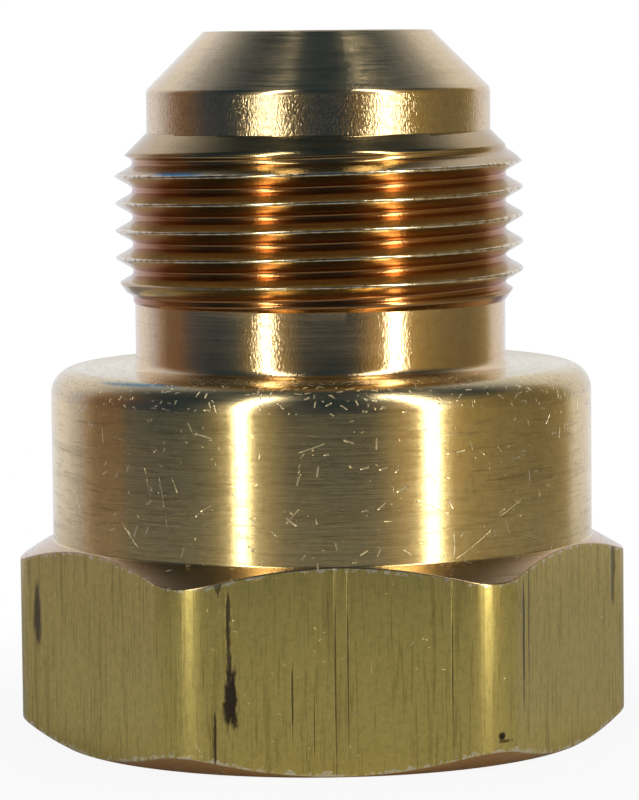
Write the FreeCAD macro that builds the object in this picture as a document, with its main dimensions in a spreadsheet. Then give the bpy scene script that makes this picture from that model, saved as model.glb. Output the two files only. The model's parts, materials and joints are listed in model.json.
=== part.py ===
"""One-piece brass adapter: 45 degree male flare on top, female taper pipe thread below.

Millimetres.  The axis of the fitting is Z, its lower end stands on the XY plane, and the
flare points up.  The hexagon has two of its flats square to Y.
"""
import FreeCAD, Part
import math
import os

import Sketcher
from FreeCAD import Vector

NODE = "adapter_body"

# Driving sizes.  Radii are measured from the axis, heights from the lower end.
SIZES = {
    # Hexagon for the wrench, turned to 30 degree chamfers at both ends.
    "HexAcrossFlats": 31.75,
    "HexCornerRadius": 3.6,
    "HexHeight": 11.75,
    "HexChamferAngle": 30.0,
    "HexBaseRadius": 15.75,
    # Collar: bar turned round above the hexagon, with a rounded shoulder.
    "CollarRadius": 15.82,
    "CollarLength": 9.98,
    "ShoulderRounding": 1.5,
    # Neck: run-out for the flare thread, at about its root radius.
    "NeckRadius": 10.83,
    "NeckLength": 3.72,
    "NeckFillet": 0.6,
    # Flare thread, 15/16 in - 16 UN, right hand.
    "FlareThreadRadius": 11.906,
    "FlareThreadGroove": 0.996,
    "FlareThreadPitch": 1.5875,
    "FlareThreadCrestFlat": 0.12,
    "FlareThreadLength": 9.95,
    "FlareThreadRunout": 1.5,
    "FlareThreadStartAngle": 45.0,
    "FlareThreadPhase": 0.643,
    # Nose: plain land and the 45 degree sealing cone.
    "NoseRadius": 10.03,
    "NoseLandLength": 2.45,
    "NoseTopRadius": 6.66,
    "FlareAngle": 45.0,
    "NoseEdgeRounding": 0.4,
    "NoseLipChamfer": 0.2,
    # Way through.
    "FlowBoreRadius": 5.95,
    # Pipe socket for a 3/4 in - 14 pipe thread, right hand, cut straight at its mean radius.
    "SocketDrillRadius": 11.9,
    "SocketDrillDepth": 17.0,
    "SocketPointAngle": 59.0,
    "SocketMouthRadius": 13.75,
    "PipeThreadGroove": 1.03,
    "PipeThreadPitch": 1.8143,
    "PipeThreadRootFlat": 0.1,
    "PipeThreadDepth": 14.0,
}

# Radii and heights that follow from the sizes above, as sheet formulas.
LEVELS = {
    "FlareThreadRootRadius": "FlareThreadRadius - FlareThreadGroove",
    "PipeThreadMajorRadius": "SocketDrillRadius + PipeThreadGroove",
    "ShoulderHeight": "HexHeight + CollarLength",
    "NeckTopHeight": "ShoulderHeight + NeckLength",
    "FlareThreadTopHeight": "NeckTopHeight + FlareThreadLength",
    "NoseEdgeHeight": "FlareThreadTopHeight + NoseLandLength",
    "NoseTopHeight": "NoseEdgeHeight + (NoseRadius - NoseTopRadius) / tan(FlareAngle * 1 deg)",
    "HexCornerReach": "HexAcrossFlats / 2 / cos(30 deg)",
}

HALF_FLANK_ANGLE = 30.0     # both threads have 60 degree flanks


def make_sheet(doc):
    """Puts every size in the spreadsheet under its own alias, then those that follow from them."""
    sheet = doc.addObject("Spreadsheet::Sheet", "Sizes")
    for row, (alias, value) in enumerate(SIZES.items(), start=1):
        sheet.set(f"A{row}", alias)
        sheet.set(f"B{row}", str(value))
        sheet.setAlias(f"B{row}", alias)
    doc.recompute()
    for row, (alias, formula) in enumerate(LEVELS.items(), start=len(SIZES) + 1):
        sheet.set(f"A{row}", alias)
        sheet.set(f"B{row}", f"={formula}")
        sheet.setAlias(f"B{row}", alias)
        doc.recompute()
    return sheet


def sized(formula):
    """Turns the aliases in a formula into references to the sheet."""
    for alias in sorted([*SIZES, *LEVELS], key=len, reverse=True):
        formula = formula.replace(alias, f"<<{alias}>>")
    return formula.replace("<<", "Sizes.").replace(">>", "")


def half_plane_sketch(body, name):
    """A sketch on the body's XZ plane: its X is the radius and its Y the height."""
    plane = next(o for o in body.Origin.OriginFeatures if o.Role == "XZ_Plane")
    sketch = body.newObject("Sketcher::SketchObject", name)
    sketch.AttachmentSupport = [(plane, "")]
    sketch.MapMode = "FlatFace"
    return sketch


def pin_point(sketch, edge, end, corner, tag):
    """Holds one end of an edge at the radius and height that the corner's formulas give."""
    for axis_name, formula, line in (("X", corner[0], -2), ("Y", corner[1], -1)):
        if formula == "0":
            sketch.addConstraint(Sketcher.Constraint("PointOnObject", edge, end, line))
            continue
        value = float(sketch.evalExpression(sized(formula)))
        index = sketch.addConstraint(Sketcher.Constraint(f"Distance{axis_name}", -1, 1, edge, end, value))
        sketch.renameConstraint(index, f"{tag}{axis_name}")
        sketch.setExpression(f"Constraints.{tag}{axis_name}", sized(formula))


def draw_profile(sketch, corners):
    """Draws a closed outline through the corners.

    A corner is (radius formula, height formula) or, where an arc leads from it to the next
    corner, (radius formula, height formula, arc radius formula, bulge), with bulge +1 for an
    arc that turns left on the way and -1 for one that turns right.
    """
    spots = [Vector(*(float(sketch.evalExpression(sized(f))) for f in corner[:2]), 0) for corner in corners]
    count = len(corners)
    for i, corner in enumerate(corners):
        start, end = spots[i], spots[(i + 1) % count]
        if len(corner) == 2:
            sketch.addGeometry(Part.LineSegment(start, end), False)
            continue
        radius, bulge = float(sketch.evalExpression(sized(corner[2]))), corner[3]
        chord = end - start
        rise = radius - math.sqrt(max(radius ** 2 - chord.Length ** 2 / 4, 0))
        outward = Vector(chord.y, -chord.x, 0) * (bulge * rise / chord.Length)
        sketch.addGeometry(Part.Arc(start, (start + end) / 2 + outward, end), False)
    for i, corner in enumerate(corners):
        # An arc is stored anticlockwise, so its first point is the outline's start only on a left turn.
        first = 2 if len(corner) == 4 and corner[3] < 0 else 1
        last_edge = corners[i - 1]
        last = 1 if len(last_edge) == 4 and last_edge[3] < 0 else 2
        sketch.addConstraint(Sketcher.Constraint("Coincident", (i - 1) % count, last, i, first))
        pin_point(sketch, i, first, corner, f"Corner{i}")
        if len(corner) == 4:
            index = sketch.addConstraint(Sketcher.Constraint(
                "Radius", i, float(sketch.evalExpression(sized(corner[2])))))
            sketch.renameConstraint(index, f"Arc{i}")
            sketch.setExpression(f"Constraints.Arc{i}", sized(corner[2]))


def turned(body, name, kind, corners):
    """A turned feature: the outline swept once round the axis, added or cut away."""
    sketch = half_plane_sketch(body, f"{name}Profile")
    draw_profile(sketch, corners)
    before = body.Shape.Volume if body.Tip else 0.0
    feature = body.newObject(f"PartDesign::{kind}", name)
    feature.Profile = sketch
    feature.ReferenceAxis = (sketch, ["V_Axis"])
    feature.Angle = 360
    body.Document.recompute()
    require_change(feature, before, kind == "Revolution")
    return feature


def helical_cut(body, name, corners, pitch, height):
    """A right-hand thread groove: the outline at angle zero, carried up a helix on the axis."""
    sketch = half_plane_sketch(body, f"{name}Profile")
    draw_profile(sketch, corners)
    before = body.Shape.Volume
    feature = body.newObject("PartDesign::SubtractiveHelix", name)
    feature.Profile = sketch
    feature.ReferenceAxis = (sketch, ["V_Axis"])
    feature.LeftHanded = False
    feature.setExpression("Pitch", sized(pitch))
    feature.setExpression("Height", sized(height))
    body.Document.recompute()
    require_change(feature, before, False)
    return feature


def require_change(feature, before, grows):
    """Stops the build when a feature added or removed nothing."""
    change = feature.Shape.Volume - before
    if (change <= 0) if grows else (change >= 0):
        raise RuntimeError(f"{feature.Name} changed the volume by {change:.3f} mm3")


def hexagon(body):
    """The wrench hexagon: a bar with rounded corners, chamfered at both ends on the lathe."""
    bar = body.newObject("PartDesign::AdditivePrism", "HexBar")
    bar.Polygon = 6
    bar.setExpression("Circumradius", sized("HexCornerReach"))
    bar.setExpression("Height", sized("HexHeight"))
    body.Document.recompute()
    corners = [f"Edge{i}" for i, edge in enumerate(bar.Shape.Edges, start=1)
               if abs(edge.Vertexes[0].Z - edge.Vertexes[-1].Z) > 1]
    rounding = body.newObject("PartDesign::Fillet", "HexCorners")
    rounding.Base = (bar, corners)
    rounding.setExpression("Radius", sized("HexCornerRadius"))
    body.Document.recompute()
    reach = "(HexCornerReach + 1)"
    slope = "tan(HexChamferAngle * 1 deg)"
    turned(body, "BaseChamfer", "Groove", [
        ("HexBaseRadius", "0"),
        (reach, "0"),
        (reach, f"({reach} - HexBaseRadius) * {slope}"),
    ])
    turned(body, "TopChamfer", "Groove", [
        ("CollarRadius", "HexHeight"),
        (reach, f"HexHeight - ({reach} - CollarRadius) * {slope}"),
        (reach, "HexHeight"),
    ])


def turned_body(body):
    """Collar, neck, thread blank, land and flare cone in one outline, from the collar up."""
    lead = "(FlareThreadRadius - NoseRadius) / tan(FlareThreadStartAngle * 1 deg)"
    edge = "NoseEdgeRounding * tan(FlareAngle * 0.5 deg)"
    turned(body, "TurnedForm", "Revolution", [
        ("0", "HexHeight / 2"),
        ("CollarRadius", "HexHeight / 2"),
        ("CollarRadius", "ShoulderHeight - ShoulderRounding", "ShoulderRounding", 1),
        ("CollarRadius - ShoulderRounding", "ShoulderHeight"),
        ("NeckRadius + NeckFillet", "ShoulderHeight", "NeckFillet", -1),
        ("NeckRadius", "ShoulderHeight + NeckFillet"),
        ("NeckRadius", "NeckTopHeight"),
        ("FlareThreadRadius", "NeckTopHeight + FlareThreadRunout"),
        ("FlareThreadRadius", f"FlareThreadTopHeight - {lead}"),
        ("NoseRadius", "FlareThreadTopHeight"),
        ("NoseRadius", f"NoseEdgeHeight - {edge}", "NoseEdgeRounding", 1),
        (f"NoseRadius - {edge} * sin(FlareAngle * 1 deg)",
         f"NoseEdgeHeight + {edge} * cos(FlareAngle * 1 deg)"),
        ("NoseTopRadius", "NoseTopHeight"),
        ("0", "NoseTopHeight"),
    ])


def inside(body):
    """The drilled pipe socket with its mouth chamfer and drill point, and the bore above it."""
    point = "(SocketDrillRadius - FlowBoreRadius) / tan(SocketPointAngle * 1 deg)"
    turned(body, "SocketAndBore", "Groove", [
        ("0", "0"),
        ("SocketMouthRadius", "0"),
        ("SocketDrillRadius", "SocketMouthRadius - SocketDrillRadius"),
        ("SocketDrillRadius", "SocketDrillDepth"),
        ("FlowBoreRadius", f"SocketDrillDepth + {point}"),
        ("FlowBoreRadius", "NoseTopHeight - NoseLipChamfer"),
        ("FlowBoreRadius + NoseLipChamfer", "NoseTopHeight"),
        ("0", "NoseTopHeight"),
    ])


def flare_thread(body):
    """The male thread: a 60 degree groove with a full-radius root, from neck to land."""
    half_top = "(FlareThreadPitch - FlareThreadCrestFlat) / 2"
    slope = f"tan({HALF_FLANK_ANGLE} deg)"
    # Half the flat that straight flanks would leave at the root; the root arc touches its middle.
    half_root = f"({half_top} - (FlareThreadRadius - FlareThreadRootRadius) * {slope})"
    arc_side = f"({half_root} * (1 + sin({HALF_FLANK_ANGLE} deg)))"
    arc_height = f"({half_root} * cos({HALF_FLANK_ANGLE} deg))"
    start = "(ShoulderHeight + NeckFillet + FlareThreadPitch * FlareThreadPhase)"
    clear = "(FlareThreadRadius + 0.4)"
    helical_cut(body, "FlareThread", [
        (clear, f"{start} - {half_top}"),
        (clear, f"{start} + {half_top}"),
        ("FlareThreadRadius", f"{start} + {half_top}"),
        (f"FlareThreadRootRadius + {arc_height}", f"{start} + {arc_side}",
         f"{half_root} / tan({HALF_FLANK_ANGLE} deg)", 1),
        (f"FlareThreadRootRadius + {arc_height}", f"{start} - {arc_side}"),
        ("FlareThreadRadius", f"{start} - {half_top}"),
    ], "FlareThreadPitch", "NoseEdgeHeight - FlareThreadPitch - ShoulderHeight - NeckFillet")


def pipe_thread(body):
    """The female thread: a 60 degree groove with a narrow flat root, from the mouth inwards."""
    inner = "(SocketDrillRadius - 0.4)"
    half_mouth = (f"((PipeThreadMajorRadius - SocketDrillRadius) * tan({HALF_FLANK_ANGLE} deg)"
                  " + PipeThreadRootFlat / 2)")
    start = "-PipeThreadPitch"
    helical_cut(body, "PipeThread", [
        (inner, f"{start} - {half_mouth}"),
        ("SocketDrillRadius", f"{start} - {half_mouth}"),
        ("PipeThreadMajorRadius", f"{start} - PipeThreadRootFlat / 2"),
        ("PipeThreadMajorRadius", f"{start} + PipeThreadRootFlat / 2"),
        ("SocketDrillRadius", f"{start} + {half_mouth}"),
        (inner, f"{start} + {half_mouth}"),
    ], "PipeThreadPitch", "PipeThreadDepth + PipeThreadPitch")


def check(doc, bodies):
    """Stops the build when any object failed or any sub-part is empty or broken."""
    for item in doc.Objects:
        if {"Invalid", "Error"} & set(item.State):
            raise RuntimeError(f"{item.Name} failed: {item.State}")
    for body in bodies:
        if body.Shape.isNull() or not body.Shape.isValid() or len(body.Shape.Solids) != 1:
            raise RuntimeError(f"{body.Label} is not one valid solid")


def main():
    """Builds the fitting and writes its one solid."""
    doc = FreeCAD.newDocument("FlareAdapter")
    make_sheet(doc)
    body = doc.addObject("PartDesign::Body", NODE)
    body.Label = NODE
    body.Placement = FreeCAD.Placement()
    hexagon(body)
    turned_body(body)
    inside(body)
    flare_thread(body)
    pipe_thread(body)
    doc.recompute()
    check(doc, [body])
    os.makedirs("parts", exist_ok=True)
    body.Shape.exportStep(f"parts/{body.Label}.step")
    print(f"{body.Label}: {body.Shape.Volume:.1f} mm3, {len(body.Shape.Faces)} faces")


main()
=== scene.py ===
"""A one-piece brass flare adapter: its skin worked out with numpy, its finishes as shader maths.

Lengths are metres in the fitting's own frame: the axis is Z and the lower end stands on z = 0.
The skin is one closed grid, of rows along the outline and columns round the axis: up the
outside, over the flare's lip, down the bore and the pipe socket, and across the lower end.
"""

import json
import logging
import math
from dataclasses import dataclass, field
from enum import Enum
from typing import Any, Callable, Mapping, Sequence, Union

import bpy
import numpy as np
from mathutils import Matrix, Vector


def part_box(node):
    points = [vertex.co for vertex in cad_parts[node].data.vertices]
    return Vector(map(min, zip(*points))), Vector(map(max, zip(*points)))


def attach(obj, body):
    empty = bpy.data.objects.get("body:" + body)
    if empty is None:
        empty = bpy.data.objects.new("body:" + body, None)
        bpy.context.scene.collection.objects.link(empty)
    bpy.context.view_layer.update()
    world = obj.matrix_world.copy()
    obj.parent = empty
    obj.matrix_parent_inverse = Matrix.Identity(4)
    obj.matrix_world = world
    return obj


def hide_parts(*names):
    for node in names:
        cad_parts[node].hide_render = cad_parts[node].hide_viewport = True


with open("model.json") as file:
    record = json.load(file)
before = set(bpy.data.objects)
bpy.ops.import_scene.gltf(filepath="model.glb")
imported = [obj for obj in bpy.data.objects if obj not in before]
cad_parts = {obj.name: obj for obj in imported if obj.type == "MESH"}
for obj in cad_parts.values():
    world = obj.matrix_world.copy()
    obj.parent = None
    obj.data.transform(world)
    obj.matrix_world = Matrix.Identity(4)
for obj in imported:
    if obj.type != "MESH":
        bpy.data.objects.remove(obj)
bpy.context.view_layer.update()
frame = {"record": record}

LOG = logging.getLogger("flare_adapter")
MM = 0.001
TURN = 2.0 * math.pi
SECTOR = math.pi / 3.0
HALF_SECTOR = math.pi / 6.0
FLANK_SLOPE = math.tan(math.radians(30.0))
Colour = tuple[float, float, float]


# --- Shader maths ---

Value = Union["Socket", float, int, Sequence[float]]
Key = Union[str, int]


class Graph:
    """One node tree, with one method that makes any node."""

    def __init__(self, tree: bpy.types.NodeTree) -> None:
        """Empties the tree and keeps it."""
        self.tree = tree
        tree.nodes.clear()

    def node(self, kind: str, settings: Mapping[str, Any] | None = None,
             values: Mapping[Key, Value] | None = None) -> bpy.types.Node:
        """Makes a node.

        Args:
            kind: The node's type, such as ShaderNodeMath.
            settings: Its own settings, or a ramp's stops, set first.
            values: Numbers, colours or Sockets for its inputs, by name or index.

        Returns:
            The new node.
        """
        made = self.tree.nodes.new(kind)
        for name, setting in (settings or {}).items():
            if name != "stops":
                setattr(made, name, setting)
                continue
            stops = made.color_ramp.elements
            while len(stops) < len(setting):
                stops.new(0.5)
            for stop, (position, colour) in zip(stops, setting):
                stop.position, stop.color = position, (*colour, 1.0)
        for key, value in (values or {}).items():
            if isinstance(value, Socket):
                self.tree.links.new(value.socket, made.inputs[key])
            else:
                made.inputs[key].default_value = value
        return made

    def out(self, made: bpy.types.Node, key: Key = 0) -> "Socket":
        """Wraps one of a node's outputs."""
        return Socket(self, made.outputs[key])

    def output(self, kind: str, *details: Any, key: Key = 0) -> "Socket":
        """Makes a node, as node does, and wraps one of its outputs."""
        return self.out(self.node(kind, *details), key)

    def split(self, joined: Value, kind: str = "ShaderNodeSeparateXYZ") -> list["Socket"]:
        """The three parts of a vector, or of a colour with a node of that kind."""
        parts = self.node(kind, None, {0: joined})
        return [self.out(parts, index) for index in range(3)]

    def math(self, operation: str, *args: Value) -> "Socket":
        """Adds a Math node for an operation on one to three values."""
        return self.output("ShaderNodeMath", {"operation": operation}, dict(enumerate(args)))

    def clamp(self, value: Value) -> "Socket":
        """Limits a value to 0 to 1."""
        return self.output("ShaderNodeClamp", None, {"Value": value})

    def step(self, value: "Socket", low: float, high: float) -> "Socket":
        """Rises smoothly from 0 at low to 1 at high, or falls where low is the larger."""
        settings = {"interpolation_type": "SMOOTHSTEP", "clamp": True}
        return self.output("ShaderNodeMapRange", settings,
                           {"Value": value, "From Min": low, "From Max": high})

    def vector(self, x: Value, y: Value, z: Value) -> "Socket":
        """Joins three numbers into a vector."""
        return self.output("ShaderNodeCombineXYZ", None, {"X": x, "Y": y, "Z": z})

    def noise(self, vector: Value, scale: float, detail: float = 2.0, rough: float = 0.5,
              depth: Value | None = None) -> "Socket":
        """Smooth noise from about 0.25 to 0.75.

        Args:
            vector: The place.
            scale: Cells to a unit.
            detail: Finer layers.
            rough: Strength of a finer layer against the one before.
            depth: Place in a fourth dimension, if any.

        Returns:
            The noise's socket.
        """
        values = {"Vector": vector, "Scale": scale, "Detail": detail, "Roughness": rough}
        if depth is None:
            return self.output("ShaderNodeTexNoise", None, values)
        return self.output("ShaderNodeTexNoise", {"noise_dimensions": "4D"}, {**values, "W": depth})

    def blend(self, factor: Value, first: Value, second: Value) -> "Socket":
        """Mixes two colours by a factor."""
        return self.output("ShaderNodeMix", {"data_type": "RGBA", "clamp_factor": True},
                           {0: factor, 6: first, 7: second}, key=2)


def operator(operation: str, reflected: bool = False) -> Callable[["Socket", Value], "Socket"]:
    """Makes a method of Socket: one Math node on self and other, or on other and self."""
    def method(self: "Socket", other: Value) -> "Socket":
        """Adds the node."""
        pair = (other, self) if reflected else (self, other)
        return self.graph.math(operation, *pair)
    return method


class Socket:
    """A node's output that takes part in Python expressions."""

    def __init__(self, graph: Graph, socket: bpy.types.NodeSocket) -> None:
        """Keeps the graph and the socket."""
        self.graph = graph
        self.socket = socket

    __add__, __radd__ = operator("ADD"), operator("ADD", True)
    __sub__, __rsub__ = operator("SUBTRACT"), operator("SUBTRACT", True)
    __mul__, __rmul__ = operator("MULTIPLY"), operator("MULTIPLY", True)
    __truediv__ = operator("DIVIDE")

    def __neg__(self) -> "Socket":
        """Minus self."""
        return self * -1.0


@dataclass(frozen=True)
class Place:
    """Where a point of the fitting's skin is, as sockets in millimetres."""

    graph: Graph
    x: Socket
    y: Socket
    height: Socket
    radius: Socket
    point: Socket

    @classmethod
    def of(cls, graph: Graph) -> "Place":
        """Reads Object coordinates and works out the radius, sqrt(x * x + y * y).

        Args:
            graph: The material's graph.

        Returns:
            The sockets.
        """
        coords = graph.output("ShaderNodeTexCoord", key="Object")
        point = graph.output("ShaderNodeVectorMath", {"operation": "SCALE"},
                             {0: coords, "Scale": 1.0 / MM})
        x, y, height = graph.split(point)
        return cls(graph, x, y, height, graph.math("SQRT", x * x + y * y), point)


# --- Finishes ---

class Grain(Enum):
    """Which way the tool marks of a finish run."""

    TURNED = "round the axis"
    DRAWN = "along the axis"


@dataclass(frozen=True)
class Scratches:
    """Short straight scratches and dings, scattered in cells, each at its own angle.

    Args:
        cell: Size of a cell, which holds one scratch at most, in millimetres.
        length: Half length of the longest scratch, likewise.
        width: Half width, likewise.
        share: Share of the cells that hold one.
        patches: How much of the surface has none, from 0 to 1.
        bright: How much the bared metal shows, from 0 to 1.
    """

    cell: float
    length: float
    width: float
    share: float
    patches: float = 0.5
    bright: float = 0.5

    def mask(self, place: Place) -> Socket:
        """1 inside a scratch and 0 beside it.

        The way from the cell's centre is split into a part round the axis and a part along the
        outline, turned by the cell's own angle, and measured against its length and width.

        Args:
            place: The point's place.

        Returns:
            The mask's socket.
        """
        graph = place.graph
        made = graph.node("ShaderNodeTexVoronoi", {"feature": "F1"}, {
            "Vector": place.point, "Scale": 1.0 / self.cell, "Randomness": 1.0})
        dx, dy, dz = graph.split(graph.output("ShaderNodeVectorMath", {"operation": "SUBTRACT"}, {
            0: place.point, 1: graph.out(made, "Position")}))
        turn, size, present = graph.split(graph.out(made, "Color"), "ShaderNodeSeparateColor")
        around = (place.x * dy - place.y * dx) / place.radius
        upward = dz - (place.x * dx + place.y * dy) / place.radius
        sine, cosine = graph.math("SINE", turn * math.pi), graph.math("COSINE", turn * math.pi)
        along = graph.math("ABSOLUTE", around * sine + upward * cosine)
        across = graph.math("ABSOLUTE", around * cosine - upward * sine)
        inside = graph.step(along / (size * self.length + 0.3 * self.length), 1.0, 0.6)
        inside = inside * graph.step(across, self.width, self.width * 0.4)
        patch = graph.step(graph.noise(place.point, 0.28, 2.0), 0.35 + 0.22 * self.patches,
                           0.42 + 0.22 * self.patches)
        return inside * graph.step(present, 1.0 - self.share, 1.02 - self.share) * patch


@dataclass(frozen=True)
class Mark:
    """A stain, pit or die line at one place.

    Args:
        spot: Its middle, in millimetres.
        width: Half width round the axis, in millimetres.
        length: Half length along the axis.
        ragged: How much its outline wanders, from 0 to 1.
        strength: How dark it is in the middle.
    """

    spot: tuple[float, float, float]
    width: float
    length: float
    ragged: float = 0.5
    strength: float = 0.8

    def mask(self, place: Place, wander: Socket) -> Socket:
        """Its darkness: an ellipse about the spot, with its edge moved by noise.

        Args:
            place: The point's place.
            wander: The noise.

        Returns:
            The mask's socket.
        """
        graph = place.graph
        dx, dy, dz = place.x - self.spot[0], place.y - self.spot[1], place.height - self.spot[2]
        side = graph.math("SQRT", dx * dx + dy * dy) * (1.0 / self.width)
        rise = dz * (1.0 / self.length)
        far = graph.math("SQRT", side * side + rise * rise) + (wander - 0.5) * (4.0 * self.ragged)
        return graph.step(far, 1.25, 0.65) * (wander * 0.5 + 0.85) * self.strength


@dataclass(frozen=True)
class Burr:
    """The torn, shiny edge where a 30 degree chamfer cuts a drawn flat.

    Args:
        radius: Radius where the chamfer's cone meets its end, in millimetres.
        height: Height of that end.
        rise: 1 where the cone rises outwards, and -1 where it falls.
        width: Greatest width of the torn edge.
    """

    radius: float
    height: float
    rise: float
    width: float = 0.20

    def mask(self, place: Place) -> Socket:
        """1 on the torn edge: close to the chamfer's cone, as far as noise lets it reach.

        Args:
            place: The point's place.

        Returns:
            The mask's socket.
        """
        graph = place.graph
        cone = (place.radius - self.radius) * (FLANK_SLOPE * self.rise) + self.height
        off = graph.math("ABSOLUTE", place.height - cone)
        reach = graph.step(graph.noise(place.point, 1.9, 4.0, 0.75), 0.44, 0.62) * self.width
        return graph.step(off - reach, 0.03, 0.0) * graph.step(reach, 0.0, 0.04)


RUBBED = (0.95, 0.86, 0.62, 1.0)
STAINED = (0.075, 0.055, 0.035, 1.0)
BURR_RISE = 1.5e-5
STAIN_DEPTH = 2e-5
SCRATCH_DEPTH = 0.45 * MM  # metres to a millimetre of half width
BROAD_PITCH, BROAD_LENGTH = 5.0, 3.0  # broad tool marks against fine ones
CHATTER_ROUND, CHATTER_UP = 9.0, 4.5  # ripples to a millimetre
ACROSS_TURNING = 0.25  # a quarter turn of the gloss, so that it spreads across turned marks


@dataclass(frozen=True)
class Finish:
    """A brass surface: its colour, gloss and tool marks.

    Args:
        name: The material's name.
        colour: Base colour where the metal is clean.
        tarnish: Colour of stains and of the dirt in tool marks.
        roughness: Gloss between the tool marks.
        spread: How much wider the gloss spreads across the tool marks than along them.
        line_depth: Height of the tool marks, in metres.
        line_pitch: Distance between them, in millimetres.
        line_length: Length of one, in millimetres.
        line_dirt: How much they darken the colour, from 0 to 1.
        stain: How much of the surface is stained, from 0 to 1.
        chatter: Height of the ripples across the tool marks, in metres.
        scratches: Layers of scratches.
        marks: Single stains, pits and lines.
        root_tarnish_and_shade: Radii between which the colour deepens to the tarnish, and the
            height where that ends. The deepening is part tarnish in a thread's roots and part
            painted shade and painted brass-on-brass reflection there.
        bright_crest: Radii between which the metal is rubbed bright.
        burrs: Torn edges along its chamfers.
        grain: Which way the tool marks run.
    """

    name: str
    colour: Colour
    tarnish: Colour
    roughness: float
    spread: float
    line_depth: float
    line_pitch: float
    line_length: float
    line_dirt: float
    stain: float
    chatter: float = 0.0
    scratches: tuple[Scratches, ...] = ()
    marks: tuple[Mark, ...] = ()
    root_tarnish_and_shade: tuple[float, float, float] | None = None
    bright_crest: tuple[float, float] | None = None
    burrs: tuple[Burr, ...] = ()
    grain: Grain = Grain.TURNED

    def material(self) -> bpy.types.Material:
        """Builds the node tree.

        Returns:
            The material.
        """
        made = bpy.data.materials.new(self.name)
        made.use_nodes = True
        graph = Graph(made.node_tree)
        place = Place.of(graph)
        fine = self._lines(place, self.line_pitch, self.line_length)
        broad = self._lines(place, self.line_pitch * BROAD_PITCH,
                            self.line_length * BROAD_LENGTH)
        stretch = 0.3 if self.grain is Grain.DRAWN else 1.0
        cloud = graph.noise(graph.vector(place.x, place.y, place.height * stretch), 0.45, 4.0, 0.6)
        tarnish = (*self.tarnish, 1.0)
        colour = graph.blend(graph.step(cloud, 0.70 - 0.3 * self.stain, 0.80) * 0.8,
                             (*self.colour, 1.0), tarnish)
        mottle = graph.noise(place.point, 2.4, 4.0, 0.75)
        colour = graph.blend(graph.step(mottle, 0.42, 0.66) * 0.20, colour, tarnish)
        dirt = graph.step(fine, 0.54, 0.66) * 0.6 + graph.step(broad, 0.56, 0.64) * 0.4
        colour = graph.blend(dirt * self.line_dirt, colour, tarnish)
        # Part tarnish, part painted shade: the colour darkens into the thread's roots by radius,
        # standing also for shade and brass-lit reflection in the hollows.
        if self.root_tarnish_and_shade is not None:
            root_tarnish_and_shade_mask = graph.step(place.radius, self.root_tarnish_and_shade[1], self.root_tarnish_and_shade[0])
            root_tarnish_and_shade_mask = root_tarnish_and_shade_mask * graph.step(place.height, self.root_tarnish_and_shade[2], self.root_tarnish_and_shade[2] - 1.0)
            colour = graph.blend(root_tarnish_and_shade_mask * 0.85, colour, tarnish)
        if self.bright_crest is not None:
            rubbed = graph.step(place.radius, *self.bright_crest) * graph.step(
                graph.noise(place.point, 2.2, 3.0, 0.7), 0.40, 0.56)
            colour = graph.blend(rubbed * 0.8, colour, RUBBED)
        rough = self.roughness + (cloud - 0.5) * 0.08 + (broad - 0.5) * 0.12 + (fine - 0.5) * 0.22
        height = fine * self.line_depth + broad * (self.line_depth * 1.5)
        if self.chatter > 0.0:
            height = height + self._chatter(place) * self.chatter
        for burr in self.burrs:
            torn = burr.mask(place)
            colour = graph.blend(torn * 0.8, colour, RUBBED)
            height = height + torn * BURR_RISE
        for layer in self.scratches:
            cut = layer.mask(place)
            colour = graph.blend(cut * layer.bright, colour, RUBBED)
            rough = rough + cut * 0.12
            height = height - cut * (layer.width * SCRATCH_DEPTH)
        if self.marks:
            wander = graph.noise(graph.vector(place.x * 2.2, place.y * 2.2, place.height * 0.7),
                                 1.0, 4.0, 0.65)
            for mark in self.marks:
                dark = mark.mask(place, wander)
                colour = graph.blend(dark, colour, STAINED)
                height = height - dark * STAIN_DEPTH
        bump = graph.output("ShaderNodeBump", None,
                            {"Strength": 1.0, "Distance": 1.0, "Height": height})
        shader = graph.output("ShaderNodeBsdfPrincipled", None, {
            "Base Color": colour, "Metallic": 1.0, "Roughness": graph.clamp(rough),
            "Anisotropic": self.spread,
            "Anisotropic Rotation": ACROSS_TURNING if self.grain is Grain.TURNED else 0.0,
            "Normal": bump})
        graph.node("ShaderNodeOutputMaterial", None, {"Surface": shader})
        return made

    def _lines(self, place: Place, pitch: float, length: float) -> Socket:
        """Parallel tool marks: noise stretched along the grain, rings where it is turned.

        Args:
            place: The point's place.
            pitch: Distance between marks, in millimetres.
            length: Length of a mark, likewise.

        Returns:
            The noise's socket.
        """
        graph, fine, slow = place.graph, 1.0 / pitch, 1.0 / length
        if self.grain is Grain.TURNED:
            vector = graph.vector(place.x * slow, place.y * slow, place.height * fine)
            return graph.noise(vector, 1.0, 3.0, 0.65, place.radius * fine)
        vector = graph.vector(place.x * fine, place.y * fine, place.height * slow)
        return graph.noise(vector, 1.0, 3.0, 0.65)

    def _chatter(self, place: Place) -> Socket:
        """Fine ripples that cross the tool marks: noise short round the axis, longer along it."""
        x, y, height = place.x * CHATTER_ROUND, place.y * CHATTER_ROUND, place.height * CHATTER_UP
        return place.graph.noise(place.graph.vector(x, y, height), 1.0, 2.0, 0.6)


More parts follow.
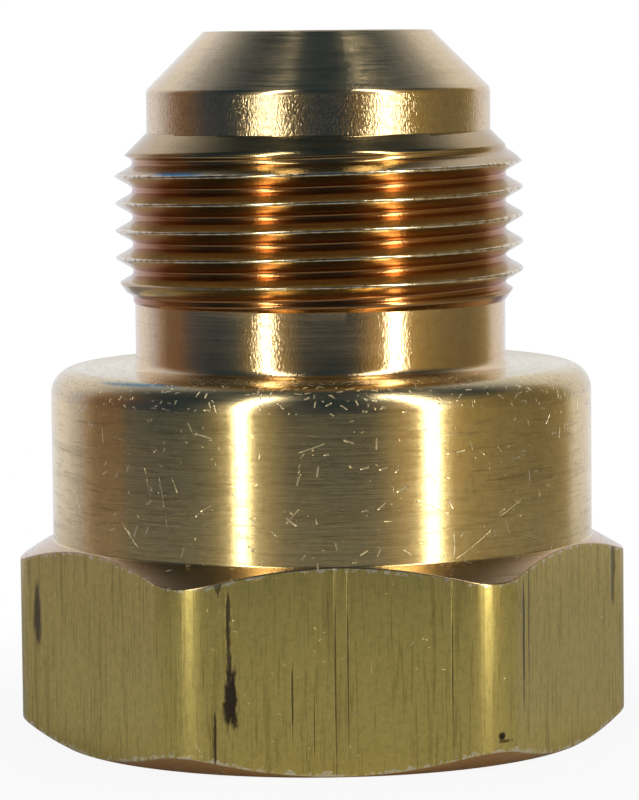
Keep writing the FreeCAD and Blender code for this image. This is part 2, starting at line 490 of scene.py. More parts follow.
DINGS = Scratches(1.1, 0.34, 0.048, 0.60, 0.40, 0.65)
SPECKS = Scratches(0.6, 0.10, 0.034, 0.35, 0.60, 0.3)
LONG = Scratches(3.2, 1.3, 0.036, 0.55, 0.40, 0.55)
FRONT = -15.875  # y of the front flat
FLAT_MARKS = (
    Mark((-6.0, FRONT, 4.4), 0.42, 1.7, 0.55, 0.92),
    Mark((-6.1, FRONT, 8.0), 0.16, 3.2, 0.75, 0.75),
    Mark((-6.6, FRONT, 11.0), 0.26, 0.7, 0.5, 0.7),
    Mark((-6.9, FRONT, 2.2), 0.10, 1.6, 0.5, 0.8),
    Mark((-2.6, FRONT, 4.2), 0.055, 2.4, 0.45, 0.75),
    Mark((-0.2, FRONT, 6.0), 0.045, 6.0, 0.35, 0.7),
    Mark((0.5, FRONT, 6.5), 0.045, 5.5, 0.35, 0.65),
    Mark((-1.4, FRONT, 3.0), 0.04, 2.6, 0.4, 0.6),
    Mark((6.3, FRONT, 6.5), 0.06, 5.2, 0.4, 0.55),
    Mark((9.15, -15.35, 2.05), 0.27, 0.24, 0.12, 1.0),
    Mark((9.35, -15.25, 1.75), 0.5, 0.10, 0.6, 0.7),
    Mark((10.5, -13.57, 7.4), 0.14, 4.2, 0.35, 0.75),
    Mark((10.85, -12.97, 8.6), 0.09, 4.6, 0.3, 0.6),
    Mark((16.9, -2.6, 9.6), 0.35, 1.8, 0.5, 0.6),
    Mark((-16.9, -2.7, 7.6), 0.45, 1.9, 0.4, 0.75),
    Mark((-12.0, -11.7, 6.6), 0.35, 1.6, 0.7, 0.45),
    Mark((-12.1, -11.5, 4.4), 0.22, 1.3, 0.6, 0.4),
)


class Skin(Enum):
    """The finishes of the fitting's skin, in the order of its material slots."""

    HEX_FLATS = Finish("brass_drawn_flats", (0.76, 0.60, 0.175), (0.21, 0.145, 0.04), 0.31, 0.3,
                       1.0e-5, 0.16, 4.0, 0.62, 0.1,
                       scratches=(Scratches(1.8, 0.35, 0.032, 0.40, 0.5), SPECKS), marks=FLAT_MARKS,
                       burrs=(Burr(15.82, 11.75, -1.0, 0.26), Burr(15.75, 0.0, 1.0, 0.28)),
                       grain=Grain.DRAWN)
    # Painted shade: the upper chamfer's brass is made duller and darker than the flats, standing in
    # for the darker reflection it shows.
    CHAMFERS = Finish("brass_top_chamfer_painted_shade", (0.66, 0.46, 0.23), (0.36, 0.19, 0.07), 0.22, 0.55,
                      5e-6, 0.15, 4.0, 0.3, 0.2, scratches=(DINGS,))
    # Part painted reflection: the lower end's brass leans orange, standing in for the brass-lit
    # floor that its chamfer reflects, over its own brass colour.
    BASE = Finish("brass_base_end_painted_reflection", (0.74, 0.43, 0.13), (0.38, 0.17, 0.05), 0.36, 0.6,
                  8e-6, 0.15, 4.0, 0.4, 0.4, scratches=(DINGS,))
    COLLAR = Finish("brass_turned_collar", (0.85, 0.65, 0.28), (0.34, 0.22, 0.08), 0.24, 0.86,
                    9e-6, 0.20, 3.0, 0.60, 0.15, scratches=(DINGS, LONG, SPECKS))
    SHOULDER = Finish("brass_dinged_shoulder", (0.78, 0.61, 0.30), (0.38, 0.25, 0.10), 0.22, 0.70,
                      6e-6, 0.15, 4.0, 0.3, 0.1,
                      scratches=(Scratches(0.6, 0.24, 0.050, 0.70, 0.0, 0.5), DINGS))
    NECK = Finish("brass_turned_neck", (0.82, 0.61, 0.31), (0.50, 0.25, 0.10), 0.19, 0.84,
                  3e-6, 0.12, 4.0, 0.2, 0.1, 8e-6)
    # Painted shade: the thread's brass is made darker than the other turned faces so that it looks
    # as dark as it does in shade; its roots darken further, part tarnish and part painted shade.
    THREAD = Finish("brass_cut_thread_painted_shade", (0.55, 0.40, 0.18), (0.42, 0.17, 0.05), 0.18, 0.6,
                    3e-6, 0.12, 3.0, 0.2, 0.1, 4e-6, root_tarnish_and_shade=(10.95, 11.35, 34.4),
                    bright_crest=(11.72, 11.88))
    NOSE = Finish("brass_turned_nose", (0.82, 0.63, 0.33), (0.46, 0.30, 0.13), 0.20, 0.82,
                  5e-6, 0.14, 3.0, 0.25, 0.1)
    LAND = Finish("brass_chattered_land", (0.82, 0.63, 0.33), (0.46, 0.30, 0.13), 0.19, 0.75,
                  1.6e-5, 0.22, 1.2, 0.4, 0.1, 1.9e-5)
    BORE = Finish("brass_bored_inside", (0.74, 0.54, 0.26), (0.35, 0.22, 0.10), 0.36, 0.7,
                  5e-6, 0.2, 5.0, 0.3, 0.3)

    @property
    def slot(self) -> int:
        """The material slot's index."""
        return list(Skin).index(self)


# --- Surfaces ---

@dataclass
class Strip:
    """Rows of the skin's grid along a stretch of the outline.

    Args:
        radius: Distance from the axis, by row along the outline and column round the axis.
        height: Height, likewise.
        skin: Material slot of the faces from each row to the next.
        rows_per_turn: Rows between a thread's two ends of one turn, or 0 for rings.
        low: Points that lie on the last ring of the strip before.
        high: Points that lie on the first ring of the strip after.
    """

    radius: np.ndarray
    height: np.ndarray
    skin: np.ndarray
    rows_per_turn: int = 0
    low: np.ndarray | None = None
    high: np.ndarray | None = None


@dataclass(frozen=True)
class Corner:
    """A corner of the outline: its place, and the rounding that the edge has there.

    Args:
        radius: Distance from the axis, one number or one per column.
        height: Height, likewise.
        rounding: Radius of the arc that replaces the corner.
        rows: Rows on that arc.
        run_rows: Rows along the straight run that leads from here to the next corner.
        skin: Finish from this corner to the next.
    """

    radius: Any
    height: Any
    rounding: float
    skin: Skin
    rows: int = 3
    run_rows: int = 1


def eased_outline(corners: Sequence[Corner], columns: int) -> Strip:
    """Carries an outline through its corners, with every inner corner replaced by an arc.

    The arc of radius q touches both runs at q * tan(turn / 2) from the corner. The radius
    shrinks where a run is too short for it.

    Args:
        corners: The corners in order.
        columns: Number of grid columns.

    Returns:
        The strip of rows.
    """
    spots = np.stack([
        np.stack([np.broadcast_to(size, columns) for size in (c.radius, c.height)], axis=-1)
        for c in corners])
    runs = np.diff(spots, axis=0)
    lengths = np.linalg.norm(runs, axis=-1)
    ways = runs / lengths[..., None]
    rows, skins = [spots[0]], [corners[0].skin]
    for index in range(1, len(corners)):
        corner, before = corners[index], corners[index - 1]
        if index < len(corners) - 1:
            arc = _corner_arc(spots[index], ways[index - 1], ways[index], corner,
                              np.minimum(lengths[index - 1], lengths[index]))
        else:
            arc = spots[index][None]
        steps = np.arange(1, before.run_rows) / before.run_rows
        start = rows[-1]
        rows += [start + (arc[0] - start) * step for step in steps]
        skins += [before.skin] * len(steps)
        rows += list(arc)
        skins += [corner.skin] * len(arc)
    grid = np.stack(rows)
    slots = np.array([skin.slot for skin in skins])
    return Strip(grid[..., 0], grid[..., 1], slots)


def _corner_arc(spot: np.ndarray, before: np.ndarray, after: np.ndarray, corner: Corner,
                room: np.ndarray) -> np.ndarray:
    """The arc in place of one corner, in every column.

    Args:
        spot: The corner in every column.
        before: Unit direction of the run that arrives.
        after: Unit direction of the run that leaves.
        corner: The corner's rounding and rows.
        room: Length of the shorter of the two runs.

    Returns:
        Points of the arc, as an array of rows by columns by 2.
    """
    cosine = np.clip((before * after).sum(-1), -1.0, 1.0)
    half = np.arccos(cosine) / 2.0
    tangent = np.minimum(corner.rounding * np.tan(half), 0.45 * room)
    share = np.linspace(0.0, 1.0, corner.rows)[:, None]
    # A rational quadratic curve whose middle weight is cos(turn / 2) is that arc.
    first = spot - before * tangent[:, None]
    last = spot + after * tangent[:, None]
    weight = np.cos(half)
    blend = [(1 - share) ** 2, 2 * share * (1 - share) * weight, share ** 2]
    total = sum(blend)
    return sum((part / total)[..., None] * end for part, end in zip(blend, (first, spot, last)))


@dataclass(frozen=True)
class Thread:
    """A right-hand screw thread as a strip of helical rows.

    Args:
        pitch: Rise per turn.
        half: Half a pitch as (distance from the root's middle, radius) points, to the crest.
        bottom: Height of the strip's lower end.
        top: Height of its upper end.
        phase: Height of the profile's start at angle zero.
        skin: Finish.
    """

    pitch: float
    half: Sequence[tuple[float, float]]
    bottom: float
    top: float
    phase: float
    skin: Skin

    def strip(self, angles: np.ndarray, blank: Any, outside: bool) -> Strip:
        """Works out the rows.

        Row i at angle a has the height phase + pitch * (i-th share + a / turn), held between
        bottom and top, so rows climb by one pitch a turn and end on the two rings. The radius
        is the profile's, half and its mirror image, held to the blank's.

        Args:
            angles: The grid's column angles.
            blank: Function from height to the radius of the metal before threading.
            outside: True for a male thread, cut into the outside.

        Returns:
            The strip of rows, upwards.
        """
        mirrored = [(self.pitch - u, r) for u, r in reversed(self.half) if u > 0.0]
        profile = [(u / self.pitch, r) for u, r in [*self.half, *mirrored]]
        shares, radii = np.array(profile).T
        first = math.floor((self.bottom - self.phase) / self.pitch) - 1
        last = math.ceil((self.top - self.phase) / self.pitch) + 1
        turns = np.arange(first, last)
        share = (turns[:, None] + shares[None, :]).ravel()
        height = self.phase + self.pitch * (share[:, None] + angles[None, :] / TURN)
        low, high = height <= self.bottom, height >= self.top
        height = np.clip(height, self.bottom, self.top)
        cut = np.broadcast_to(np.tile(radii, len(turns))[:, None], height.shape)
        limit = np.minimum if outside else np.maximum
        radius = limit(cut, blank(height))
        slots = np.full(len(share), self.skin.slot)
        return Strip(radius, height, slots, len(profile), low, high)


def reverse(strip: Strip) -> Strip:
    """A thread's rows in the other order along the outline."""
    return Strip(strip.radius[::-1], strip.height[::-1], strip.skin[::-1],
                 -strip.rows_per_turn, strip.high[::-1], strip.low[::-1])


# --- Sub-assemblies ---

@dataclass(frozen=True)
class Sizes:
    """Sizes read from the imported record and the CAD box."""

    height: float
    across_flats: float
    thread_radius: float
    bore_radius: float
    socket_radius: float

    @classmethod
    def read(cls, record: Mapping[str, Any]) -> "Sizes":
        """Takes the radii of the round mounts and the box of the CAD body.

        Args:
            record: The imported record.

        Returns:
            The sizes, in metres.
        """
        radii = {m["name"]: m["dims"].get("r_mm", 0.0) * MM for m in record["mounts"]}
        low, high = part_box("adapter_body")
        return cls(high.z - low.z, high.y - low.y, radii["flare_thread"], radii["flow_bore"],
                   radii["pipe_socket"])


@dataclass
class Hexagon:
    """The wrench hexagon with rounded corners and a 30 degree chamfer at each end."""

    sizes: Sizes
    corner_radius: float = 3.6 * MM
    height: float = 11.75 * MM
    base_radius: float = 15.75 * MM
    chamfer: float = math.radians(30.0)
    edge: float = 0.10 * MM
    flat_columns: int = 34
    corner_columns: int = 22

    @property
    def apothem(self) -> float:
        """Distance from the axis to a flat."""
        return self.sizes.across_flats / 2.0

    @property
    def corner_centre(self) -> float:
        """Distance from the axis to the centre of a corner's rounding."""
        return (self.apothem - self.corner_radius) / math.cos(HALF_SECTOR)

    def angles(self) -> np.ndarray:
        """Column angles, closer together round the hexagon's corners.

        A corner's arc takes equal steps of its own turning, as seen from the axis, and a flat
        takes equal steps of angle.

        Returns:
            Angles from 0 to a full turn, both ends included.
        """
        turn = np.linspace(-HALF_SECTOR, HALF_SECTOR, self.corner_columns + 1)
        corner = np.arctan2(self.corner_radius * np.sin(turn),
                            self.corner_centre + self.corner_radius * np.cos(turn))
        flat = np.linspace(corner[-1], SECTOR - corner[-1], self.flat_columns + 1)[1:-1]
        sector = np.concatenate([corner, flat])
        around = (sector[None, :] + np.arange(6)[:, None] * SECTOR).ravel()
        start = np.argmin(np.abs(around))
        around = np.concatenate([around[start:], around[:start] + TURN])
        return np.append(around, TURN)

    def reach(self, angles: np.ndarray) -> np.ndarray:
        """Distance from the axis to the rounded hexagon's side at each angle.

        On a flat it is the apothem over the cosine from the flat's middle. Round a corner it
        is the far crossing with the corner's circle.

        Args:
            angles: Angles round the axis.

        Returns:
            The distances.
        """
        offset = np.abs((angles + HALF_SECTOR) % SECTOR - HALF_SECTOR)
        flat = self.apothem / np.cos(HALF_SECTOR - offset)
        centre = self.corner_centre
        inside = np.maximum(self.corner_radius ** 2 - (centre * np.sin(offset)) ** 2, 0.0)
        arc = centre * np.cos(offset) + np.sqrt(inside)
        limit = math.atan2(self.corner_radius / 2.0,
                           centre + self.corner_radius * math.cos(HALF_SECTOR))
        return np.where(offset < limit, arc, flat)

    def corners(self, angles: np.ndarray, collar_radius: float) -> list[Corner]:
        """The hexagon's outline from the lower end to the collar, different in every column.

        Args:
            angles: The grid's column angles.
            collar_radius: Radius where the upper chamfer ends.

        Returns:
            The corners, upwards.
        """
        reach = self.reach(angles)
        slope = math.tan(self.chamfer)
        lower = (reach - self.base_radius) * slope
        upper = self.height - (reach - collar_radius) * slope
        return [
            Corner(self.base_radius, 0.0, self.edge, Skin.BASE),
            Corner(reach, lower, self.edge, Skin.HEX_FLATS, run_rows=6),
            Corner(reach, upper, self.edge, Skin.CHAMFERS),
        ]


@dataclass
class Collar:
    """The round collar with its rounded shoulder, and the neck above it."""

    base: float
    radius: float = 15.82 * MM
    length: float = 9.98 * MM
    rounding: float = 1.5 * MM
    neck_radius: float = 10.83 * MM
    neck_length: float = 3.72 * MM
    neck_fillet: float = 0.6 * MM
    foot_edge: float = 0.12 * MM

    @property
    def shoulder(self) -> float:
        """Height of the shoulder."""
        return self.base + self.length

    @property
    def neck_top(self) -> float:
        """Height where the thread's run-out starts."""
        return self.shoulder + self.neck_length

    def corners(self) -> list[Corner]:
        """The outline from the hexagon to the thread."""
        return [
            Corner(self.radius, self.base, self.foot_edge, Skin.COLLAR, run_rows=6),
            Corner(self.radius, self.shoulder, self.rounding, Skin.SHOULDER, rows=10, run_rows=4),
            Corner(self.neck_radius, self.shoulder, self.neck_fillet, Skin.NECK, rows=7,
                   run_rows=4),
            Corner(self.neck_radius, self.neck_top, 0.0, Skin.THREAD),
        ]


@dataclass
class FlareEnd:
    """The male thread, the plain land and the 45 degree cone."""

    sizes: Sizes
    base: float
    neck_radius: float
    root_radius: float = 10.91 * MM
    pitch: float = 1.5875 * MM
    crest_flat: float = 0.12 * MM
    length: float = 9.95 * MM
    runout: float = 1.5 * MM
    land_radius: float = 10.03 * MM
    top_radius: float = 6.66 * MM
    edge: float = 0.4 * MM
    top_edge: float = 0.08 * MM
    lip: float = 0.2 * MM
    lip_edge: float = 0.05 * MM
    phase: float = 23.351 * MM
    root_turns: tuple[float, ...] = (0.0, 20.0, 40.0, 60.0)
    flank_shares: tuple[float, ...] = (0.35, 0.7, 0.94)
    crest_share: float = 0.15

    @property
    def thread_top(self) -> float:
        """Height where the thread's lead-in meets the land."""
        return self.base + self.length

    def blank(self, height: np.ndarray) -> np.ndarray:
        """Radius of the bar before threading: run-out cone, cylinder and 45 degree lead-in."""
        crest = self.sizes.thread_radius
        rising = self.neck_radius + (crest - self.neck_radius) * (height - self.base) / self.runout
        falling = self.land_radius + (self.thread_top - height)
        return np.minimum(np.minimum(rising, crest), falling)

    def thread(self, angles: np.ndarray) -> Strip:
        """The thread: 60 degree flanks, narrow crests and a root of full radius.

        Across one pitch, from the middle of the root, the radius follows the root's arc, then
        the straight flank, the crest's narrow flat, and the same back.

        Args:
            angles: The grid's column angles.

        Returns:
            The strip of rows, upwards.
        """
        crest = self.sizes.thread_radius
        half_top = (self.pitch - self.crest_flat) / 2.0
        half_root = half_top - (crest - self.root_radius) * FLANK_SLOPE
        arc_radius = half_root / FLANK_SLOPE
        turn = np.radians(self.root_turns)
        arc = list(zip(arc_radius * np.sin(turn),
                       self.root_radius + arc_radius * (1 - np.cos(turn))))
        side, rise = arc[-1]
        flank = [(side + (half_top - side) * share, rise + (crest - rise) * share)
                 for share in self.flank_shares]
        crest_edge = [(half_top + self.crest_flat * self.crest_share, crest)]
        body = Thread(self.pitch, arc + flank + crest_edge, self.base, self.thread_top,
                      self.phase, Skin.THREAD)
        return body.strip(angles, self.blank, outside=True)

    def corners(self) -> list[Corner]:
        """The outline from the thread to the start of the bore."""
        top = self.sizes.height
        cone = self.land_radius - self.top_radius
        return [
            Corner(self.land_radius, self.thread_top, 0.0, Skin.LAND, run_rows=3),
            Corner(self.land_radius, top - cone, self.edge, Skin.NOSE, rows=5, run_rows=6),
            Corner(self.top_radius, top, self.top_edge, Skin.NOSE),
            Corner(self.sizes.bore_radius + self.lip, top, self.lip_edge, Skin.BORE),
        ]


@dataclass
class PipeSocket:
    """The bore and the threaded pipe socket below it."""

    sizes: Sizes
    depth: float = 17.0 * MM
    point: float = math.radians(59.0)
    mouth_radius: float = 13.75 * MM
    major_radius: float = 12.93 * MM
    pitch: float = 1.8143 * MM
    root_flat: float = 0.1 * MM
    thread_depth: float = 14.0 * MM
    runout_turns: float = 0.6
    fade_turns: float = 0.5
    edge: float = 0.1 * MM
    lip_edge: float = 0.05 * MM

    @property
    def thread_top(self) -> float:
        """Height of the thread's deep end, past its fading last turn."""
        return self.thread_depth + self.pitch * self.runout_turns

    def upper_corners(self, lip: float) -> list[Corner]:
        """The outline down the bore and the drill point, to the thread's deep end.

        Args:
            lip: Width of the chamfer at the bore's upper end.

        Returns:
            The corners, downwards.
        """
        wall, bore = self.sizes.socket_radius, self.sizes.bore_radius
        drilled = self.depth + (wall - bore) / math.tan(self.point)
        return [
            Corner(bore, self.sizes.height - lip, self.lip_edge, Skin.BORE, run_rows=6),
            Corner(bore, drilled, self.edge, Skin.BORE, run_rows=4),
            Corner(wall, self.depth, self.edge, Skin.BORE, run_rows=2),
            Corner(wall, self.thread_top, 0.0, Skin.BORE),
        ]

    def blank(self, height: np.ndarray) -> np.ndarray:
        """Radius of the hole before threading: the drilled wall and the 45 degree mouth."""
        return np.maximum(self.sizes.socket_radius, self.mouth_radius - height)

    def thread(self, angles: np.ndarray) -> Strip:
        """The female thread, from its deep end down to the mouth.

        The groove fades into the wall over the last half turn, and at the mouth.

        Args:
            angles: The grid's column angles.

        Returns:
            The strip of rows, downwards.
        """
        wall = self.sizes.socket_radius
        half_root = self.root_flat / 2.0
        half_mouth = (self.major_radius - wall) * FLANK_SLOPE + half_root
        middle = (half_mouth * 0.5 + half_root * 0.5, (self.major_radius + wall) / 2.0)
        half = [(half_root, self.major_radius), middle, (half_mouth, wall)]
        body = Thread(self.pitch, half, 0.0, self.thread_top, 0.0, Skin.BORE)
        strip = body.strip(angles, self.blank, outside=False)
        fade = np.clip((self.thread_top - strip.height) / (self.pitch * self.fade_turns), 0.0, 1.0)
        mouth = np.clip(strip.height / (self.mouth_radius - self.major_radius), 0.0, 1.0)
        held = self.blank(strip.height)
        strip.radius = held + (strip.radius - held) * fade * mouth
        return reverse(strip)


@dataclass
class AdapterBody:
    """The whole fitting as one closed skin."""

    sizes: Sizes

    def build(self) -> bpy.types.Object:
        """Stacks the sub-assemblies, each on the one below, and joins them.

        Returns:
            The object, named fitting_body.
        """
        hexagon = Hexagon(self.sizes)
        collar = Collar(hexagon.height)
        flare = FlareEnd(self.sizes, collar.neck_top, collar.neck_radius)
        socket = PipeSocket(self.sizes)
        angles = hexagon.angles()
        columns = len(angles)
        outside = [*hexagon.corners(angles, collar.radius), *collar.corners()]
        inside = [*flare.corners(), *socket.upper_corners(flare.lip)]
        end = [Corner(socket.mouth_radius, 0.0, 0.0, Skin.BASE, run_rows=3),
               Corner(hexagon.base_radius, 0.0, 0.0, Skin.BASE)]
        strips = [eased_outline(outside, columns), flare.thread(angles),
                  eased_outline(inside, columns), socket.thread(angles),
                  eased_outline(end, columns)]
        return weld(strips, angles).compact().build("fitting_body")


def weld(strips: Sequence[Strip], angles: np.ndarray) -> "Shell":
    """Joins strips end to end and round the axis into one closed grid.

    Args:
        strips: The strips in order. The last one's last ring is the first one's first ring.
        angles: Column angles, the last a full turn after the first.

    Returns:
        The shell, with some faces collapsed.
    """
    columns = len(angles) - 1
    counts = [len(s.skin) for s in strips]
    starts = np.concatenate([[0], np.cumsum(counts)])
    total = int(starts[-1])
    ids = np.arange(total)[:, None] * columns + np.arange(columns)[None, :]
    ids = np.concatenate([ids, ids[:, :1]], axis=1)
    ids[total - 1] = ids[0]
    for strip, start, count in zip(strips, starts, counts):
        if strip.rows_per_turn == 0:
            continue
        before, after = ids[start - 1], ids[start + count]
        block = ids[start:start + count]
        shift = strip.rows_per_turn
        rows = np.arange(count) + shift
        inside = (rows >= 0) & (rows < count)
        block[inside, columns] = block[rows[inside], 0]
        block[:] = np.where(strip.low, before[None, :], block)
        block[:] = np.where(strip.high, after[None, :], block)
        # The seam's points follow what their partner one turn on was held to.
        block[inside, columns] = block[rows[inside], 0]
    radius = np.concatenate([s.radius for s in strips])[:, :columns]
    height = np.concatenate([s.height for s in strips])[:, :columns]
    around = angles[:columns]
    points = np.stack([radius * np.cos(around), radius * np.sin(around), height], axis=-1)
    skin = np.concatenate([s.skin for s in strips])
    lower, upper = ids[:-1], ids[1:]
    faces = np.stack([lower[:, :-1], lower[:, 1:], upper[:, 1:], upper[:, :-1]], axis=-1)
    slots = np.repeat(skin[:-1], columns)
    return Shell(points.reshape(-1, 3), faces.reshape(-1, 4), slots)


@dataclass
class Shell:
    """A skin as arrays.

    Args:
        points: Places, one row each.
        faces: Four point indices each. A triangle repeats its third.
        slots: Material slot of each face.
    """

    points: np.ndarray
    faces: np.ndarray
    slots: np.ndarray

    def compact(self) -> "Shell":
        """Drops collapsed faces and unused points, and turns half-collapsed faces into triangles.

        Returns:
            The new shell.
        """
        faces, slots = self.faces, self.slots
        same = faces == np.roll(faces, -1, axis=1)
        crossed = (faces[:, 0] == faces[:, 2]) | (faces[:, 1] == faces[:, 3])
        keep = (same.sum(axis=1) <= 1) & ~crossed
        faces, same, slots = faces[keep], same[keep], slots[keep]
        order = (np.arange(4)[None, :] + (np.argmax(same, axis=1)[:, None] + 1)) % 4
        rolled = np.take_along_axis(faces, order, axis=1)
        # Rolled so, the doubled index comes first and last; the last is set to repeat the third.
        rolled[:, 3] = rolled[:, 2]
        faces = np.where(same.any(axis=1)[:, None], rolled, faces)
        used, renumbered = np.unique(faces, return_inverse=True)
        return Shell(self.points[used], renumbered.reshape(-1, 4), slots)

    def normals(self) -> np.ndarray:
        """Unit normals at the points: the sum of the faces' normals, each as long as its area.

        Returns:
            One row for each point.
        """
        corners = self.points[self.faces].transpose(1, 0, 2)
        across = np.cross(corners[2] - corners[0], corners[3] - corners[1])
        normals = np.zeros_like(self.points)
        for index in range(4):
            np.add.at(normals, self.faces[:, index], across)
        return normals / np.maximum(np.linalg.norm(normals, axis=1, keepdims=True), 1e-30)

    def build(self, name: str) -> bpy.types.Object:
        """Puts the skin into a mesh object with its finishes and smooth normals.

        Args:
            name: The object's name.

        Returns:
            The object.
        """
        mesh = bpy.data.meshes.new(name)
        polygons = [face[:3] if face[2] == face[3] else face for face in self.faces.tolist()]
        mesh.from_pydata(self.points.tolist(), [], polygons)
        for skin in Skin:
            mesh.materials.append(skin.value.material())
        mesh.polygons.foreach_set("material_index", self.slots.astype(np.int32))
        mesh.polygons.foreach_set("use_smooth", np.ones(len(self.slots), bool))
        mesh.normals_split_custom_set_from_vertices(self.normals().tolist())
        mesh.validate()
        return link(name, mesh)


def link(name: str, data: bpy.types.ID) -> bpy.types.Object:
    """Makes an object of some data and puts it into the scene."""
    made = bpy.data.objects.new(name, data)
    bpy.context.scene.collection.objects.link(made)
    return made


# --- Studio ---

@dataclass(frozen=True)
class Room:
    """What stands round the fitting, as light levels by direction.

    Args:
        walls: Degrees to the right of the camera's side, and the light of the wall there.
        ceiling: Light from above, on the camera's side.
        sheet: Light from above, on the far side.
        sheet_reach: How far back a way points where the sheet starts and is full.
        wall_top: How far up a way points where the wall ends and the ceiling is full.
        window: Way to the middle of a window: to the right, back, up.
        window_edge: Cosines from that way at the window's edge and inside it.
        sky: Light of that window.
    """

    walls: tuple[tuple[float, Colour], ...] = (
        (-180.0, (0.85, 0.90, 1.0)), (-140.0, (0.78, 0.80, 1.0)), (-127.0, (0.52, 0.54, 0.80)),
        (-118.0, (0.38, 0.30, 0.32)), (-112.0, (0.20, 0.14, 0.12)), (-96.0, (0.17, 0.11, 0.09)),
        (-88.0, (0.064, 0.075, 0.12)), (-68.0, (0.022, 0.040, 0.085)), (-52.0, (0.05, 0.07, 0.10)),
        (-44.0, (0.22, 0.19, 0.12)), (-24.0, (0.28, 0.23, 0.14)), (-14.0, (0.05, 0.06, 0.085)),
        (6.0, (0.018, 0.038, 0.075)), (22.0, (0.040, 0.052, 0.080)), (34.0, (0.34, 0.25, 0.13)),
        (56.0, (0.48, 0.37, 0.18)), (66.0, (0.30, 0.24, 0.12)), (83.0, (0.20, 0.17, 0.11)),
        (104.0, (0.17, 0.145, 0.10)), (118.0, (0.24, 0.20, 0.13)), (127.0, (0.34, 0.29, 0.18)),
        (134.0, (0.74, 0.74, 0.88)), (180.0, (0.85, 0.90, 1.0)),
    )
    ceiling: Colour = (0.016, 0.034, 0.065)
    sheet: Colour = (0.72, 0.76, 0.95)
    sheet_reach: tuple[float, float] = (0.12, 0.85)
    wall_top: tuple[float, float] = (0.45, 0.75)
    window: tuple[float, float, float] = (-0.30, 0.71, 0.635)
    window_edge: tuple[float, float] = (0.982, 0.994)
    sky: Colour = (0.03, 0.26, 0.85)

    def light(self, graph: Graph, facing: float) -> Socket:
        """The room's light along a ray.

        Level with the fitting it is the wall at the ray's bearing, and higher up the ceiling.

        Args:
            graph: The world's graph.
            facing: Bearing of the camera's side from -Y, in radians.

        Returns:
            The colour socket.
        """
        x, y, z = graph.split(graph.output("ShaderNodeTexCoord", key="Generated"))
        along = x * math.cos(facing) + y * math.sin(facing)
        away = y * math.cos(facing) - x * math.sin(facing)
        share = graph.math("ARCTAN2", along, -away) * (1.0 / TURN) + 0.5
        stops = [(degrees / 360.0 + 0.5, light) for degrees, light in self.walls]
        wall = graph.output("ShaderNodeValToRGB", {"stops": stops}, {0: share})
        above = graph.blend(graph.step(away, *self.sheet_reach), (*self.ceiling, 1.0),
                            (*self.sheet, 1.0))
        around = graph.blend(graph.step(z, *self.wall_top), wall, above)
        left, back, up = self.window
        toward = along * left + away * back + z * up
        return graph.blend(graph.step(toward, *self.window_edge), around, (*self.sky, 1.0))


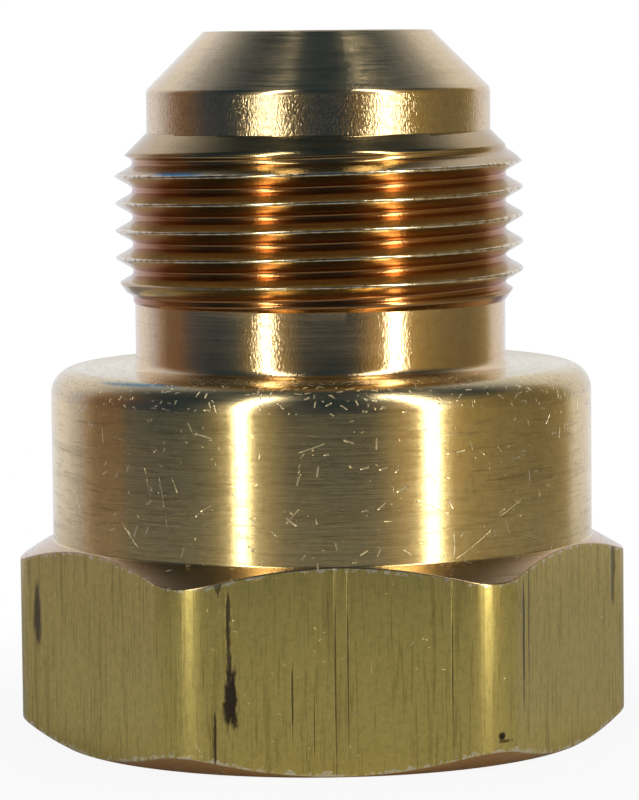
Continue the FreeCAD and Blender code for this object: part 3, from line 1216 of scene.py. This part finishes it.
@dataclass
class Studio:
    """Floor, world, lamps and camera. Radii in the floor's shader are millimetres."""

    room: Room = field(default_factory=Room)
    view_azimuth: float = math.radians(-3.0)
    distance: float = 0.2482
    eye_height: float = 0.04215
    target: tuple[float, float, float] = (-0.0001, 0.0, 0.0196)
    roll: float = math.radians(-0.6)
    lens_length: float = 127.308
    sensor_height: float = 24.0
    clip: tuple[float, float] = (0.01, 20.0)
    floor_half: float = 3.0
    floor_colour: Colour = (0.50, 0.50, 0.51)
    # Painted shadow: the floor's white glow is held to this share at the fitting's foot and rises
    # to full between the two radii below, in millimetres, greying a ring round the fitting.
    white_under_painted_shadow: float = 0.92
    painted_shadow_reach: tuple[float, float] = (15.0, 60.0)
    mirrored_white: float = 0.06
    mirrored_reach: tuple[float, float] = (75.0, 115.0)
    lamp_distance: float = 0.5
    lamp_height: float = 0.28
    lamp_length: float = 0.9
    lamp_target: tuple[float, float, float] = (0.0, 0.0, 0.02)

    def build(self) -> None:
        """Makes everything that isn't the object."""
        self._floor()
        self._world()
        self._lamp("lamp_left", math.radians(-33.5), 0.052, 1.5)
        self._lamp("lamp_right", math.radians(46.5), 0.064, 2.0)
        self._camera()
        bpy.context.scene.view_settings.view_transform = "Standard"

    def _floor(self) -> None:
        """A pale board that runs out into white. Near the fitting it is greyed by distance from the
        axis alone, a painted shadow, and only a small share of it shows the fitting's real cast
        shadow.

        In the metal the board ends about 0.1 m out, and the room's walls show beyond it.
        """
        mesh = bpy.data.meshes.new("floor")
        half = self.floor_half
        mesh.from_pydata([(-half, -half, 0), (half, -half, 0), (half, half, 0), (-half, half, 0)],
                         [], [(0, 1, 2, 3)])
        floor = link("floor", mesh)
        made = bpy.data.materials.new("floor_white")
        made.use_nodes = True
        graph = Graph(made.node_tree)
        path = graph.node("ShaderNodeLightPath")
        place = Place.of(graph)
        # Painted shadow: the white glow falls off towards the fitting by distance from the axis
        # alone, whatever the lamps do.
        painted_shadow_fade = graph.step(place.radius, *self.painted_shadow_reach) * (1.0 - self.white_under_painted_shadow)
        white = graph.out(path, "Is Camera Ray") * (painted_shadow_fade + self.white_under_painted_shadow)
        mirrored = graph.out(path, "Is Glossy Ray") + graph.out(path, "Is Transmission Ray")
        matt = graph.output("ShaderNodeBsdfDiffuse", None, {"Color": (*self.floor_colour, 1.0)})
        glow = graph.output("ShaderNodeEmission", None, {"Color": (1, 1, 1, 1), "Strength": 1.0})
        board = graph.output("ShaderNodeMixShader", None, {
            0: graph.clamp(white + mirrored * self.mirrored_white), 1: matt, 2: glow})
        past = graph.clamp(mirrored) * graph.step(place.radius, *self.mirrored_reach)
        through = graph.output("ShaderNodeBsdfTransparent")
        mixed = graph.output("ShaderNodeMixShader", None, {0: past, 1: board, 2: through})
        graph.node("ShaderNodeOutputMaterial", None, {"Surface": mixed})
        mesh.materials.append(made)

    def _world(self) -> None:
        """The room, with a white background for the camera's own rays."""
        world = bpy.data.worlds.new("studio")
        world.use_nodes = True
        bpy.context.scene.world = world
        graph = Graph(world.node_tree)
        seen = graph.output("ShaderNodeLightPath", key="Is Camera Ray")
        light = graph.blend(seen, self.room.light(graph, self.view_azimuth), (1.0, 1.0, 1.0, 1.0))
        back = graph.output("ShaderNodeBackground", None, {"Color": light, "Strength": 1.0})
        graph.node("ShaderNodeOutputWorld", None, {"Surface": back})

    def _lamp(self, name: str, azimuth: float, width: float, power: float) -> None:
        """A tall, narrow soft lamp.

        Args:
            name: The lamp's name.
            azimuth: Angle from the camera's side, to the right.
            width: Width of the lamp.
            power: Power in watts.
        """
        lamp = bpy.data.lights.new(name, "AREA")
        lamp.shape = "RECTANGLE"
        lamp.size, lamp.size_y = width, self.lamp_length
        lamp.energy = power
        link(name, lamp).matrix_world = aimed(
            azimuth + self.view_azimuth, self.lamp_distance, self.lamp_height, self.lamp_target)

    def _camera(self) -> None:
        """The camera, aimed at the middle of the fitting and rolled a little."""
        lens = bpy.data.cameras.new("camera")
        lens.sensor_fit = "VERTICAL"
        lens.sensor_height = self.sensor_height
        lens.lens = self.lens_length
        lens.clip_start, lens.clip_end = self.clip
        made = link("camera", lens)
        look = aimed(self.view_azimuth, self.distance, self.eye_height, self.target)
        made.matrix_world = look @ Matrix.Rotation(self.roll, 4, "Z")
        bpy.context.scene.camera = made


def aimed(bearing: float, distance: float, height: float, target: Sequence[float]) -> Matrix:
    """The place of a lamp or camera that looks at a target.

    Args:
        bearing: Angle round the axis from -Y, in radians.
        distance: Distance from the axis.
        height: Height above the floor.
        target: The point that it looks at.

    Returns:
        The matrix in the scene.
    """
    spot = Vector((math.sin(bearing) * distance, -math.cos(bearing) * distance, height))
    look = (Vector(target) - spot).to_track_quat("-Z", "Y").to_matrix().to_4x4()
    return Matrix.Translation(spot) @ look


def main() -> None:
    """Builds the fitting and its studio, and reports each piece."""
    logging.basicConfig(level=logging.INFO, format="%(message)s")
    sizes = Sizes.read(frame["record"])
    body = AdapterBody(sizes).build()
    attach(body, "root")
    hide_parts("adapter_body")
    LOG.info("%s: %d faces", body.name, len(body.data.polygons))
    Studio().build()
    LOG.info("studio: floor, world, lamps, camera")


if __name__ == "__main__":
    main()
